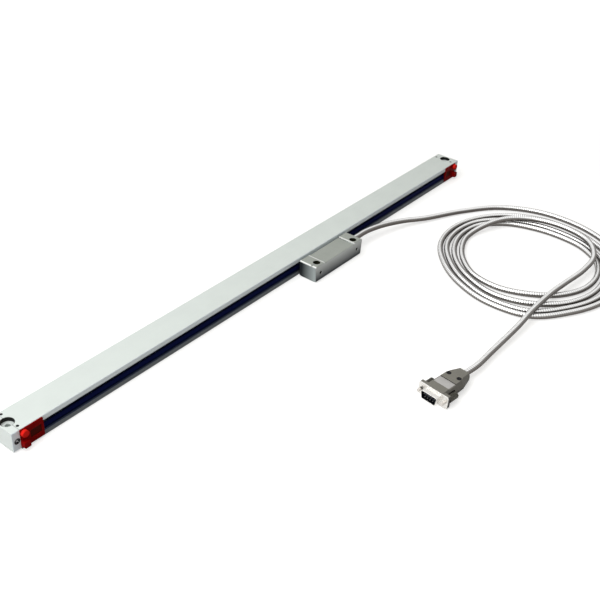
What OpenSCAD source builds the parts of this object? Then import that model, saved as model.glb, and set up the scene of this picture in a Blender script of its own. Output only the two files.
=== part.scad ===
// Sealed linear glass scale with its reader head, armoured cable and nine-pin connector.
// Millimetres. The origin is the centre of the housing's bottom face, +X runs along the scale
// to the right-hand end, +Y points away from the sealing lips and +Z is up.

/* [Housing] */
// Length over which the head can measure
measuring_length = 500; // [200:10:900]
// Length of the scale beyond the measuring length, both ends together
end_allowance = 160; // [150:1:220]
// Depth of the section, from the lips to the back
section_depth = 28.4; // [27.6:0.1:34]
// Height of the section
section_height = 20; // [19.6:0.1:23]
// Thickness of the wall that carries the lips
front_wall = 3.4; // [3.2:0.1:3.8]
// Thickness of the back wall
back_wall = 2.2; // [1.8:0.1:2.6]
// Thickness of the top wall
roof_wall = 2.2; // [1.9:0.1:2.3]
// Thickness of the bottom wall
floor_wall = 2.2; // [1.8:0.1:2.4]
// Height of the lower front flange, below the lips
lower_flange = 6.5; // [6:0.1:6.8]
// Height of the upper front flange, above the lips
upper_flange = 4.7; // [4.4:0.1:5]
// Radius of the long outer edges
section_edge_r = 0.8; // [0.4:0.1:1]
// Depth of the fine line along the lower front flange
flange_line_depth = 0.5; // [0.3:0.1:0.7]

/* [Glass and lips] */
// Width of the glass scale
glass_width = 12.2; // [11.6:0.1:12.6]
// Thickness of the glass scale
glass_t = 1.6; // [1.4:0.1:1.8]
// Thickness of the elastic strip that clamps the glass
strip_t = 0.6; // [0.5:0.1:0.8]
// How far the two glass ledges stand out of the back wall
ledge_depth = 3.6; // [3:0.1:3.8]
// Thickness of each glass ledge
ledge_t = 1.8; // [1.4:0.1:2]
// Gap from the glass to the end plug
glass_end_gap = 5; // [2:0.5:8]
// Thickness of a sealing lip
lip_t = 0.9; // [0.8:0.1:1]
// Radius of the bead that holds a lip in its groove
lip_bead_r = 1; // [0.9:0.05:1.1]
// Gap between the two lips
lip_gap = 1.3; // [1.3:0.1:1.6]

/* [Ends] */
// Thickness of the end cap outside the housing
cap_t = 7.2; // [7:0.1:8]
// Thickness of the end gasket
gasket_t = 0.5; // [0.4:0.1:0.8]
// Length of the plug that an end cap pushes into the housing
plug_len = 12; // [11:0.5:16]
// Clearance round that plug
plug_clearance = 0.15; // [0.1:0.05:0.2]
// Distance of the mounting hole from the end
mount_inset = 7; // [6.8:0.1:7.2]
// Diameter of the mounting hole
mount_hole_d = 4.5; // [4.2:0.1:4.7]
// Diameter of the recess for the mounting screw's head
mount_head_d = 10.8; // [10.4:0.1:11]
// Depth of that recess
mount_head_depth = 3.8; // [3.4:0.1:4.4]
// Height of an end cap's underside over the mounting face, outside its foot
cap_lift = 1.4; // [0.8:0.1:1.6]
// Length of a lip clip
clip_len = 21.7; // [20:0.1:26]
// Thickness of a lip clip's plate
clip_t = 1.1; // [0.9:0.1:1.4]
// How far a clip's lower nose stands out of its plate; the upper one stands a little less
clip_nose = 3.9; // [3:0.1:4.2]

/* [Reader head] */
// Place of the head along the scale at rest
head_x = 57; // [-100:1:70]
// Length of the head
head_len = 76.6; // [76:0.1:84]
// Depth of the head
head_depth = 20.6; // [20:0.1:23]
// Height of the head
head_height = 18.1; // [18:0.1:18.8]
// How far each end of the head leans out from its underside to its top
head_lean = 1.3; // [0.8:0.1:1.6]
// Gap between the head and the housing
head_gap = 1.9; // [1.9:0.1:2.4]
// Height of the head's underside over the mounting face
head_lift = 0.6; // [0.4:0.1:0.7]
// Length of the raised pad at each end of the head
pad_len = 13.5; // [13:0.1:14]
// How far the pads stand over the middle of the head
pad_rise = 1; // [0.6:0.1:1.2]
// Distance between the head's two mounting holes
head_hole_spacing = 61.8; // [61:0.1:62]
// Diameter of the head's vertical mounting holes
head_hole_d = 4.4; // [4.2:0.1:4.5]
// Diameter of the recess for a mounting screw's head
head_cbore_d = 7.6; // [7.2:0.1:8]
// Diameter of the threaded holes in the head's front face
front_hole_d = 3.3; // [3:0.1:3.4]
// Thickness of the head's bottom cover
cover_t = 1.2; // [1:0.1:1.4]
// Thickness of the blade that reaches through the lips
blade_t = 1; // [0.8:0.1:1.1]
// Length of the blade between its pointed ends
blade_len = 44; // [36:1:44]

/* [Carriage] */
// Length of the carriage that runs on the glass
carriage_len = 46; // [44:1:60]
// Diameter of a guide roller
roller_d = 5; // [4.8:0.1:5]
// Width of a guide roller
roller_w = 2; // [1.8:0.1:2]
// Diameter of a roller's axle
axle_d = 1.5; // [1.4:0.1:1.5]
// Clearance between a roller's bore and its axle, on the radius
axle_clearance = 0.05; // [0.04:0.01:0.08]
// Gap between a roller and the glass
roller_gap = 0.1; // [0.05:0.05:0.15]

/* [Cable and connector] */
// Diameter of the armoured cable
cable_d = 6; // [5.6:0.1:6]
// Width of the connector's metal flange
flange_width = 30.8; // [30.2:0.1:32]
// Height of the connector's metal flange
flange_height = 12.5; // [12:0.1:13]
// Distance between the two jackscrews
jackscrew_spacing = 25; // [24.8:0.1:25.2]
// Width of the connector's hood at its middle plane, next to the flange
hood_width = 24; // [23.6:0.1:24.2]
// Length of the hood behind the flange
hood_len = 42.6; // [42:0.1:44]
// Height of the hood
hood_height = 12.9; // [12.7:0.1:13.2]
// How far the hood's sides lean in from its middle plane to its top
hood_side_inset = 3.2; // [2.8:0.1:3.4]
// Wall of the hood
hood_wall = 1.5; // [1.3:0.1:1.6]
// Diameter of a jackscrew's knob
knob_d = 6.4; // [6:0.1:6.6]

/* [Hidden] */
$fn = 48;
small = 0.01;

// Housing: the section lies in Y and Z and runs along X
half_len = (measuring_length + end_allowance) / 2;
front_y = -section_depth / 2;
back_y = section_depth / 2;
slot_top = section_height - upper_flange;
slot_bottom = lower_flange;
mid_z = (slot_top + slot_bottom) / 2;
cavity_y0 = front_y + front_wall;
cavity_y1 = back_y - back_wall;
cavity_z1 = section_height - roof_wall;
body_half = half_len - cap_t - gasket_t;
mount_x = half_len - mount_inset;
notch_r = mount_head_d / 2 + 0.5;
seat_z = section_height - mount_head_depth;

// Glass, clamped at its back edge between two ledges
glass_y1 = cavity_y1;
glass_y0 = glass_y1 - glass_width;
glass_z0 = mid_z - glass_t / 2;
glass_z1 = mid_z + glass_t / 2;
glass_half = body_half - plug_len - glass_end_gap;
ledge_y0 = cavity_y1 - ledge_depth;
groove_top = glass_z1 + strip_t;

// Lips: a bead in a groove of each flange and a wing that leans inwards
bead_y = front_y + 1.6;
bead_z = slot_top + lip_bead_r + 0.15;
wing_y = bead_y - lip_t / 2;
lip_lean = 1.2;

// Screws of the end caps
end_screw_x = half_len - 4.3;
end_screw_z = mid_z - 0.7;
end_screw_head_r = 2.7;
end_screw_head_t = 1.4;
end_screw_r = 1.45;
end_screw_len = 7.5;
roof_screw_x = half_len - cap_t - gasket_t - 1.7;
roof_screw_y = [cavity_y0 + 1.4, cavity_y1 - 1.4];
roof_screw_head_r = 1.3;
roof_screw_head_t = 1.2;
roof_screw_len = 4.2;

// Reader head, in its own X from its middle
head_y1 = front_y - head_gap;
head_y0 = head_y1 - head_depth;
head_z0 = head_lift;
head_z1 = head_lift + head_height;
head_end = head_len / 2;
head_hole_y = head_y0 + 5.8;
front_hole_z = 9.5;
chamber_half = 23;
chamber_wall = 2;
chamber_z1 = head_z1 - pad_rise - 2;
blade_boss_half = 20;
blade_boss_y0 = head_y1 - 8;
blade_z0 = mid_z - blade_t / 2;
blade_z1 = mid_z + blade_t / 2;
blade_screw_x = 12;
blade_screw_y = head_y1 - 5;
cover_half = 28;
cover_inset = 1.2;
cover_screw_x = 25.5;
cover_screw_y = 6.6;
board_z = head_z0 + 3.8;
board_t = 1.6;
board_post = [19.5, head_y0 + 5.6];
gland_y = head_y1 - 8.3;
gland_z = mid_z + 1.1;
gland_seat = 4;
gland_body_r = 3.6;
gland_collar = 1.5;

// Carriage: a C that reaches round the free edge of the glass
web_y0 = cavity_y0 + 2.2;
web_y1 = glass_y0 - 3.4;
arm_y1 = ledge_y0 - 2.1;
lower_arm = [floor_wall + 1.2, glass_z0 - 2.5];
upper_arm = [glass_z1 + 1.2, cavity_z1 - 0.9];
roller_r = roller_d / 2;
axle_r = axle_d / 2;
face_roller_x = carriage_len / 2 - 6;
face_roller_y = glass_y0 + 3.3;
face_roller_z = glass_z1 + roller_gap + roller_r;
edge_roller_x = carriage_len / 2 - 11;
edge_roller_y = glass_y0 - roller_gap - roller_r;
axle_grip = 2.2;
collar_r = axle_r + 0.5;
grating_t = 1;
sensor_y = glass_y0 + 3.3;
lamp_r = 2.5;
lamp_base = 1.6;
lens_r = 3;

// Connector, in its own frame: X from the flange to the cable, Z from its middle
connector_pos = [-60, -222];
connector_turn = -7;
hood_top_z = hood_height / 2;
connector_z = hood_top_z + 0.1;
flange_t = 0.9;
ear_t = 3.4;
shell_len = 6;
shell_t = 0.45;
shell_w = 16.9;
shell_h = 8.36;
shell_r = 1.7;
pin_pitch = 2.77;
pin_row = 1.42;
jack_r = 1.4;
knob_x0 = flange_t + ear_t + 0.4;
knob_len = 10.5;
hood_rear = flange_t + hood_len;
hood_rim = 1;
hood_waist_x = hood_rear - 15.5;
hood_waist = hood_width / 2 - 0.7;
hood_rear_half = hood_width / 2 - 4.7;
hood_slope_x = hood_rear - 11.5;
hood_rear_top = 4;
hood_screw = [hood_rear - 15.8, 5.5];
cable_stop = hood_slope_x + 0.8;
clamp_t = 2.1;

// Cable: from the head down to the floor, four loose turns that lie inside each other, then
// over them to the connector. The turns are given by their radius every 24 degrees, clockwise
// from the side nearest the housing.
cable_r = cable_d / 2;
floor_z = 3.1;
over_z = 9.8;
coil_centre = [205, -172];
coil_step = 24;
cable_lead = [[head_x + head_end - gland_seat, gland_y, gland_z],
    [head_x + head_end + 11, gland_y, gland_z],
    [124, -25, 12], [148, -29, 10.5], [176, -37, 7.5]];
coil_radii = [122,
    111, 111, 110, 107, 105, 103, 101, 101, 103, 110, 103, 94, 89, 89,
    89, 90, 92, 93, 92, 92, 93, 93, 94, 96, 102, 96, 87, 82, 82,
    82, 83, 81, 78, 77, 80, 83, 84, 86, 88, 88, 86, 79, 75, 74,
    75, 76, 73, 69, 69, 73, 76, 76, 75, 73, 71, 72, 71, 67, 66,
    68, 68, 73, 78, 80, 80, 72];
coil_rise = [4.5, 61, 7.5];
cable_tail = [[216, -233, 8.5], [180, -230, 9], [150, -228, over_z], [110, -228, over_z],
    [78, -229, 7.5], [30, -229, 6]];
ring_sides = 8;

// ---- Shared shapes ----

// A flat shape in Y and Z, run along X
module along_x(x0, x1) {
    translate([x0, 0, 0]) rotate([90, 0, 90]) linear_extrude(x1 - x0) children();
}

// A flat shape in X and Z, run along Y
module along_y(y0, y1) {
    translate([0, y1, 0]) rotate([90, 0, 0]) linear_extrude(y1 - y0) children();
}

module block(low, high) {
    translate(low) cube(high - low);
}

module rounded_rect(low, high, r) {
    size = high - low;
    translate(low + [r, 0]) square([size.x - 2 * r, size.y]);
    translate(low + [0, r]) square([size.x, size.y - 2 * r]);
    for (x = [low.x + r, high.x - r], y = [low.y + r, high.y - r]) translate([x, y]) circle(r);
}

// Copies a left-hand piece to the right-hand end
module at_right() {
    mirror([1, 0, 0]) children();
}

module post(x, y, z0, z1, r) {
    translate([x, y, z0]) cylinder(r = r, h = z1 - z0);
}

// ---- Housing ----

module lip_groove() {
    translate([bead_y, bead_z]) circle(lip_bead_r);
    translate([wing_y, slot_top - small]) square([lip_t, bead_z - slot_top]);
}

module housing_section() {
    difference() {
        rounded_rect([front_y, 0], [back_y, section_height], section_edge_r);
        translate([cavity_y0, floor_wall])
            square([cavity_y1 - cavity_y0, cavity_z1 - floor_wall]);
        translate([front_y - 1, slot_bottom]) square([front_wall + 2, slot_top - slot_bottom]);
        lip_groove();
        translate([0, 2 * mid_z]) mirror([0, 1]) lip_groove();
        translate([front_y, lower_flange / 2])
            polygon([[-small, -flange_line_depth], [flange_line_depth, 0],
                [-small, flange_line_depth]]);
    }
    for (z = [glass_z0 - ledge_t, groove_top])
        translate([ledge_y0, z]) square([ledge_depth + small, ledge_t]);
}

module housing() {
    color([0.84, 0.86, 0.85]) difference() {
        along_x(-body_half, body_half) housing_section();
        for (side = [-1, 1]) {
            post(side * mount_x, 0, -1, section_height + 1, notch_r);
            for (y = roof_screw_y) {
                post(side * roof_screw_x, y, cavity_z1 - 1, section_height + 1,
                    roof_screw_head_r - 0.35);
                post(side * roof_screw_x, y, section_height - roof_screw_head_t,
                    section_height + 1, roof_screw_head_r + 0.05);
            }
        }
    }
}

module glass_scale() {
    color([0.72, 0.84, 0.82, 0.5])
        block([-glass_half, glass_y0, glass_z0], [glass_half, glass_y1, glass_z1]);
}

module glass_strip() {
    color([0.1, 0.1, 0.1])
        block([-glass_half, ledge_y0 + 0.2, glass_z1], [glass_half, cavity_y1 - 0.2, groove_top]);
}

// Bead, neck and leaning wing of the upper lip
module lip_section() {
    tip_y = wing_y + lip_lean;
    tip_z = mid_z + lip_gap / 2;
    translate([bead_y, bead_z]) circle(lip_bead_r - 0.05);
    translate([wing_y + 0.05, slot_top - small]) square([lip_t - 0.1, bead_z - slot_top]);
    polygon([[wing_y, slot_top], [wing_y, slot_top - 0.5], [tip_y, tip_z],
        [tip_y + lip_t, tip_z], [wing_y + lip_t, slot_top - 0.4], [wing_y + lip_t, slot_top]]);
}

module upper_lip() {
    color([0.03, 0.05, 0.13]) along_x(-body_half, body_half) lip_section();
}

module lower_lip() {
    color([0.03, 0.05, 0.13]) along_x(-body_half, body_half)
        translate([0, 2 * mid_z]) mirror([0, 1]) lip_section();
}

// ---- Ends ----

// Cross-section of the plug, cut away where it passes the glass ledges
module plug_section(grow) {
    difference() {
        translate([cavity_y0 - grow, floor_wall - grow])
            square([cavity_y1 - cavity_y0 + 2 * grow, cavity_z1 - floor_wall + 2 * grow]);
        translate([ledge_y0 + grow, glass_z0 - ledge_t + grow])
            square([ledge_depth + 1, groove_top - glass_z0 + 2 * ledge_t - 2 * grow]);
    }
}

module end_cap_left() {
    color([0.80, 0.82, 0.81]) difference() {
        union() {
            along_x(-half_len, -half_len + cap_t)
                rounded_rect([front_y, cap_lift], [back_y, section_height], section_edge_r);
            along_x(-half_len + cap_t - small, -body_half + plug_len)
                plug_section(-plug_clearance);
            post(-mount_x, 0, 0, floor_wall + plug_clearance + small, mount_head_d / 2);
        }
        post(-mount_x, 0, seat_z, section_height + 1, notch_r);
        post(-mount_x, 0, -1, section_height, mount_hole_d / 2);
        translate([-end_screw_x, 0, end_screw_z]) rotate([90, 0, 0]) {
            translate([0, 0, -front_y - 1.6]) cylinder(r = end_screw_head_r + 0.1, h = 2);
            translate([0, 0, -front_y - end_screw_len - 0.5])
                cylinder(r = end_screw_r + 0.05, h = end_screw_len + 0.5);
        }
        for (y = roof_screw_y)
            post(-roof_screw_x, y, section_height - roof_screw_len - 1, section_height,
                roof_screw_head_r - 0.45);
    }
}

module end_cap_right() {
    at_right() end_cap_left();
}

// A sheet between cap and housing, with a collar that lines the recess
module end_gasket_left() {
    edge = 0.2;
    color([0.12, 0.12, 0.12]) difference() {
        union() {
            along_x(-half_len + cap_t, -body_half) difference() {
                rounded_rect([front_y + edge, cap_lift + edge],
                    [back_y - edge, section_height - edge], section_edge_r);
                plug_section(0);
            }
            post(-mount_x, 0, seat_z, section_height - 2 * edge, notch_r - 0.05);
        }
        post(-mount_x, 0, -1, section_height + 1, mount_head_d / 2);
    }
}

module end_gasket_right() {
    at_right() end_gasket_left();
}

module end_screws() {
    color([0.05, 0.05, 0.06]) for (side = [-1, 1])
        translate([side * end_screw_x, front_y, end_screw_z]) rotate([-90, 0, 0])
            difference() {
                union() {
                    translate([0, 0, 0.1]) cylinder(r = end_screw_head_r, h = end_screw_head_t);
                    cylinder(r = end_screw_r, h = end_screw_len);
                }
                translate([0, 0, -1]) cylinder(r = 1.5, h = 2, $fn = 6);
            }
}

module roof_screws() {
    color([0.35, 0.36, 0.36]) for (side = [-1, 1], y = roof_screw_y)
        translate([side * roof_screw_x, y, section_height]) difference() {
            union() {
                translate([0, 0, -roof_screw_head_t])
                    cylinder(r = roof_screw_head_r, h = roof_screw_head_t - 0.15);
                translate([0, 0, -roof_screw_len])
                    cylinder(r = roof_screw_head_r - 0.5, h = roof_screw_len - 0.5);
            }
            translate([0, 0, -0.7]) cylinder(r = 0.6, h = 1, $fn = 6);
        }
}

// A moulded clip over the end of the lips: a plate with a shallow pocket, a wedge between the
// lips and two noses with a notch between them beside the end screw
module lip_clip_left() {
    x0 = -half_len + cap_t - 0.1;
    x1 = x0 + clip_len;
    z0 = 1.7;
    z1 = section_height - 0.3;
    plate_y = front_y - clip_t;
    nose_r = 3.1;
    color([0.50, 0.03, 0.05]) difference() {
        union() {
            along_y(plate_y, front_y) rounded_rect([x0, z0], [x1, z1], 0.8);
            along_y(plate_y - clip_nose + 1, plate_y + small)
                translate([x0 + nose_r, z1 - nose_r - 0.6]) circle(nose_r);
            along_y(plate_y - clip_nose, plate_y + small)
                rounded_rect([x0, z0 + 1.6], [x0 + 5.8, z0 + 7.3], 1);
            along_x(x0 + 2, x1 - 1)
                polygon([[front_y - small, slot_bottom + 0.1], [wing_y - 0.3, slot_bottom + 0.1],
                    [wing_y + lip_lean - 0.5, mid_z - 0.6], [wing_y + lip_lean - 0.5, mid_z + 0.6],
                    [wing_y - 0.3, slot_top - 0.1], [front_y - small, slot_top - 0.1]]);
        }
        along_y(plate_y - 1, plate_y + 0.5) rounded_rect([x0 + 9, z0 + 5], [x1 - 2, z1 - 5.4], 1);
        along_y(plate_y - clip_nose - 1, front_y - 0.3)
            translate([x0 - 0.3, mid_z + 0.5]) circle(2.1);
    }
}

module lip_clip_right() {
    at_right() lip_clip_left();
}

// ---- Reader head ----

module at_head() {
    translate([head_x, 0, 0]) children();
}

// The block from the front, with leaning ends, up to its pads or only up to its middle part
module casting_front(pads) {
    corner_r = 2;
    step_r = 0.5;
    step = head_end - pad_len;
    lean = atan(head_lean / head_height);
    z = head_height - corner_r;
    x = head_end + (z * sin(lean) - corner_r) / cos(lean);
    for (side = [0, 1]) mirror([side, 0]) translate([0, head_z0]) {
        if (pads) {
            translate([x, z]) circle(corner_r);
            translate([step + step_r, head_height - step_r]) circle(step_r);
        }
        polygon(pads ? [[step, 0], [head_end, 0],
            [x + corner_r * cos(lean), z - corner_r * sin(lean)], [x, head_height],
            [step + step_r, head_height], [step, head_height - step_r]]
            : [[-1, 0], [head_end, 0], [head_end, head_height - pad_rise],
                [-1, head_height - pad_rise]]);
    }
}

// The cast block, round along all its edges, with a raised pad at each end
module head_casting() {
    reach = head_end + 5;
    lean = atan(head_lean / head_height);
    intersection() {
        for (side = [0, 1]) mirror([side, 0, 0]) translate([head_end, 0, head_z0])
            rotate([0, lean, 0]) translate([-2 * reach, 0, -5]) linear_extrude(head_height + 10)
                rounded_rect([-10, head_y0], [2 * reach, head_y1], 2.2);
        union() {
            intersection() {
                along_y(head_y0, head_y1) casting_front(false);
                along_x(-reach, reach)
                    rounded_rect([head_y0, head_z0], [head_y1, head_z1 - pad_rise], 0.8);
            }
            intersection() {
                along_y(head_y0, head_y1) casting_front(true);
                along_x(-reach, reach) rounded_rect([head_y0, head_z0], [head_y1, head_z1], 1);
            }
        }
    }
}

module head_body() {
    color([0.60, 0.62, 0.61]) at_head() difference() {
        head_casting();
        difference() {
            block([-chamber_half, head_y0 + chamber_wall, head_z0 - 1],
                [chamber_half, head_y1 - chamber_wall, chamber_z1]);
            block([-blade_boss_half, blade_boss_y0, blade_z1],
                [blade_boss_half, head_y1, chamber_z1 + 1]);
            for (side = [-1, 1])
                post(side * board_post.x, board_post.y, board_z + board_t, chamber_z1 + 1, 2.2);
        }
        block([-cover_half - 0.1, head_y0 + cover_inset - 0.1, head_z0 - 1],
            [cover_half + 0.1, head_y1 - cover_inset + 0.1, head_z0 + cover_t]);
        block([-blade_len / 2 - 0.3, head_y1 - 3, blade_z0 - 0.2],
            [blade_len / 2 + 0.3, head_y1 + 1, blade_z1 + 0.2]);
        for (side = [-1, 1]) {
            post(side * head_hole_spacing / 2, head_hole_y, head_z0 - 1, head_z1 + 1,
                head_hole_d / 2);
            post(side * head_hole_spacing / 2, head_hole_y, head_z1 - 4, head_z1 + 1,
                head_cbore_d / 2);
            translate([side * head_hole_spacing / 2, head_hole_y, front_hole_z])
                rotate([90, 0, 0]) cylinder(r = front_hole_d / 2, h = 10);
            post(side * board_post.x, board_post.y, board_z, board_z + 7, 0.8);
            post(side * blade_screw_x, blade_screw_y, blade_z0, blade_z1 + 3.6, 1.05);
            for (y = [-cover_screw_y, cover_screw_y])
                post(side * cover_screw_x, (head_y0 + head_y1) / 2 + y, head_z0, head_z0 + 6, 0.85);
        }
        translate([head_end, gland_y, gland_z]) rotate([0, -90, 0]) {
            translate([0, 0, -1]) cylinder(r = gland_body_r, h = 9);
            cylinder(r = 2.4, h = head_end - chamber_half + 1);
            translate([0, 0, -4]) cylinder(r = gland_body_r + 0.7, h = 4);
        }
        translate([-head_end - 3, head_hole_y, head_z1]) rotate([0, 90, 0])
            cylinder(r = 1.1, h = 6);
    }
}

module head_cover() {
    color([0.45, 0.46, 0.46]) at_head() difference() {
        block([-cover_half, head_y0 + cover_inset, head_z0],
            [cover_half, head_y1 - cover_inset, head_z0 + cover_t]);
        for (side = [-1, 1], y = [-cover_screw_y, cover_screw_y])
            post(side * cover_screw_x, (head_y0 + head_y1) / 2 + y, head_z0 - 1, head_z0 + 3, 1);
    }
}

module cover_screws() {
    color([0.3, 0.3, 0.3]) at_head() for (side = [-1, 1], y = [-cover_screw_y, cover_screw_y])
        translate([side * cover_screw_x, (head_y0 + head_y1) / 2 + y, head_z0]) difference() {
            union() {
                translate([0, 0, -0.4]) cylinder(r = 1.6, h = 0.4);
                translate([0, 0, -0.1]) cylinder(r = 0.8, h = 5.6);
            }
            block([-1.2, -0.2, -0.6], [1.2, 0.2, -0.2]);
        }
}

// The blade passes between the lips, so its two ends are pointed like a boat's
module blade() {
    h = blade_len / 2;
    root_y = blade_boss_y0;
    color([0.75, 0.76, 0.78]) at_head() difference() {
        union() {
            along_y(head_y1 - 1, web_y0 - 1)
                polygon([[-h, mid_z], [-h + 4, blade_z0], [h - 4, blade_z0], [h, mid_z],
                    [h - 4, blade_z1], [-h + 4, blade_z1]]);
            block([-blade_boss_half + 1, root_y, blade_z0],
                [blade_boss_half - 1, head_y1 - 1 + small, blade_z1]);
        }
        for (side = [-1, 1])
            post(side * blade_screw_x, blade_screw_y, blade_z0 - 1, blade_z1 + 1, 1.25);
    }
}

module blade_screws() {
    color([0.3, 0.3, 0.3]) at_head() for (side = [-1, 1])
        translate([side * blade_screw_x, blade_screw_y, blade_z0]) difference() {
            union() {
                translate([0, 0, -1.4]) cylinder(r = 2.1, h = 1.4);
                translate([0, 0, -0.2]) cylinder(r = 1, h = 4.4);
            }
            translate([0, 0, -2]) cylinder(r = 1, h = 1.3, $fn = 6);
        }
}

// A bowed leaf between the blade and the carriage, which presses the carriage to the glass
module coupling_spring() {
    t = 0.3;
    color([0.65, 0.66, 0.70]) at_head() translate([0, 0, mid_z - 2])
        linear_extrude(4) polygon([[-16, web_y0], [-13, web_y0], [-5, web_y0 - 1 + t],
            [5, web_y0 - 1 + t], [13, web_y0], [16, web_y0], [16, web_y0 - t],
            [12.5, web_y0 - t], [4.8, web_y0 - 1], [-4.8, web_y0 - 1], [-12.5, web_y0 - t],
            [-16, web_y0 - t]]);
}

module head_board() {
    color([0.08, 0.35, 0.16]) at_head() difference() {
        block([-chamber_half + 0.6, head_y0 + chamber_wall + 0.4, board_z],
            [chamber_half - 0.6, head_y1 - chamber_wall - 0.6, board_z + board_t]);
        for (side = [-1, 1]) post(side * board_post.x, board_post.y, board_z - 1,
            board_z + board_t + 1, 0.9);
    }
}

module board_screws() {
    color([0.3, 0.3, 0.3]) at_head() for (side = [-1, 1])
        translate([side * board_post.x, board_post.y, board_z]) union() {
            translate([0, 0, -1.2]) cylinder(r = 1.7, h = 1.2);
            translate([0, 0, -0.2]) cylinder(r = 0.75, h = 6);
        }
}

// ---- Carriage ----

module carriage_section() {
    translate([web_y0, lower_arm[0]])
        square([web_y1 - web_y0, upper_arm[1] - lower_arm[0]]);
    for (arm = [lower_arm, upper_arm])
        translate([web_y1 - small, arm[0]])
            square([arm_y1 - web_y1 + small, arm[1] - arm[0]]);
}

module carriage() {
    c = carriage_len / 2;
    color([0.13, 0.13, 0.14]) at_head() difference() {
        along_x(-c, c) carriage_section();
        post(0, sensor_y, lower_arm[0] - 1, lower_arm[1] + 1, lamp_r + 0.05);
        post(0, sensor_y, lower_arm[1] - 1, lower_arm[1] + 1, lens_r + 0.05);
        post(0, sensor_y, upper_arm[0] - 1, upper_arm[1] + 1, 2);
        block([-10, sensor_y - 3, upper_arm[0] + 2], [10, sensor_y + 2.6, upper_arm[1] + 1]);
        for (side = [-1, 1]) {
            block([side * face_roller_x - roller_r - 0.5, face_roller_y - roller_w / 2 - 0.3,
                upper_arm[0] - 1], [side * face_roller_x + roller_r + 0.5,
                face_roller_y + roller_w / 2 + 0.3, upper_arm[1] + 1]);
            translate([side * face_roller_x, glass_y0 - 0.6, face_roller_z]) rotate([-90, 0, 0])
                cylinder(r = axle_r, h = arm_y1 - glass_y0 + 2);
            block([side * edge_roller_x - roller_r - 0.5, web_y1 - 2.2, mid_z - roller_w / 2 - 0.3],
                [side * edge_roller_x + roller_r + 0.5, web_y1 + 1, mid_z + roller_w / 2 + 0.3]);
            post(side * edge_roller_x, edge_roller_y, lower_arm[1] - axle_grip,
                upper_arm[0] + axle_grip, axle_r);
            post(side * edge_roller_x, edge_roller_y, lower_arm[1], upper_arm[0], collar_r + 0.1);
        }
    }
}

module lamp() {
    dome = 1.5;
    color([0.75, 0.2, 0.2]) at_head() translate([0, sensor_y, lower_arm[0]]) union() {
        cylinder(r = lamp_r, h = lamp_base);
        translate([0, 0, lamp_base]) rotate_extrude() intersection() {
            circle(dome);
            square([dome, dome]);
        }
    }
}

// Flat below, domed above
module condenser_lens() {
    color([0.8, 0.9, 0.95, 0.6]) at_head() translate([0, sensor_y, lower_arm[1] - 1])
        rotate_extrude() union() {
            square([lens_r, 1]);
            intersection() {
                translate([0, -3.4]) circle(5.4);
                translate([0, 1 - small]) square([lens_r, 2]);
            }
        }
}

module index_grating() {
    color([0.55, 0.65, 0.70, 0.7]) at_head()
        block([-6, sensor_y - 2.7, upper_arm[0] - grating_t],
            [6, sensor_y + 2.7, upper_arm[0]]);
}

module sensor_board() {
    z = upper_arm[0] + 2;
    color([0.08, 0.35, 0.16]) at_head() union() {
        block([-9.6, sensor_y - 2.8, z], [9.6, sensor_y + 2.4, z + 0.8]);
        block([-3, sensor_y - 1.8, z + 0.8 - small], [3, sensor_y + 1.8, upper_arm[1]]);
    }
}

module face_axles() {
    color([0.78, 0.79, 0.80]) at_head() for (side = [-1, 1])
        translate([side * face_roller_x, glass_y0 - 0.6, face_roller_z]) rotate([-90, 0, 0])
            cylinder(r = axle_r, h = arm_y1 - glass_y0 + 0.6);
}

// Each edge axle has a collar on both sides of its roller, because the arms stand apart there
module edge_axles() {
    gap = roller_w / 2 + 0.1;
    color([0.78, 0.79, 0.80]) at_head() for (side = [-1, 1]) {
        post(side * edge_roller_x, edge_roller_y, lower_arm[1] - axle_grip,
            upper_arm[0] + axle_grip, axle_r);
        post(side * edge_roller_x, edge_roller_y, lower_arm[1], mid_z - gap, collar_r);
        post(side * edge_roller_x, edge_roller_y, mid_z + gap, upper_arm[0], collar_r);
    }
}

// A shielded bearing: rings of two radii with a shallow groove at each face
module roller() {
    difference() {
        cylinder(r = roller_r, h = roller_w, center = true);
        cylinder(r = axle_r + axle_clearance, h = roller_w + 1, center = true);
        for (side = [-1, 1]) translate([0, 0, side * roller_w / 2]) difference() {
            cylinder(r = roller_r - 0.5, h = 0.3, center = true);
            cylinder(r = axle_r + 0.5, h = 1, center = true);
        }
    }
}

module face_roller_left() {
    color([0.70, 0.71, 0.73]) at_head()
        translate([-face_roller_x, face_roller_y, face_roller_z]) rotate([90, 0, 0]) roller();
}

module face_roller_right() {
    color([0.70, 0.71, 0.73]) at_head()
        translate([face_roller_x, face_roller_y, face_roller_z]) rotate([90, 0, 0]) roller();
}

module edge_roller_left() {
    color([0.70, 0.71, 0.73]) at_head() translate([-edge_roller_x, edge_roller_y, mid_z]) roller();
}

module edge_roller_right() {
    color([0.70, 0.71, 0.73]) at_head() translate([edge_roller_x, edge_roller_y, mid_z]) roller();
}

// ---- Cable ----

module cable_gland() {
    color([0.70, 0.70, 0.68]) translate([head_x + head_end, gland_y, gland_z])
        rotate([0, 90, 0]) difference() {
            union() {
                translate([0, 0, -8]) cylinder(r = gland_body_r - 0.05, h = 8 + small);
                cylinder(r = gland_body_r + 0.3, h = gland_collar);
            }
            translate([0, 0, -9]) cylinder(r = 2.2, h = 12);
            translate([0, 0, -gland_seat]) cylinder(r = cable_r + 0.2, h = 8);
        }
}

// A point of the connector's own X axis, in the part's frame
function on_connector_axis(x) = [connector_pos.x + x * cos(connector_turn),
    connector_pos.y + x * sin(connector_turn), connector_z];

// The height of a coil point: the first comes down from the head, the last turn climbs over
function coil_height(i) = i == 0 ? coil_rise[0] : i < coil_rise[1] ? floor_z
    : i == coil_rise[1] ? coil_rise[2] : over_z;

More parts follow.
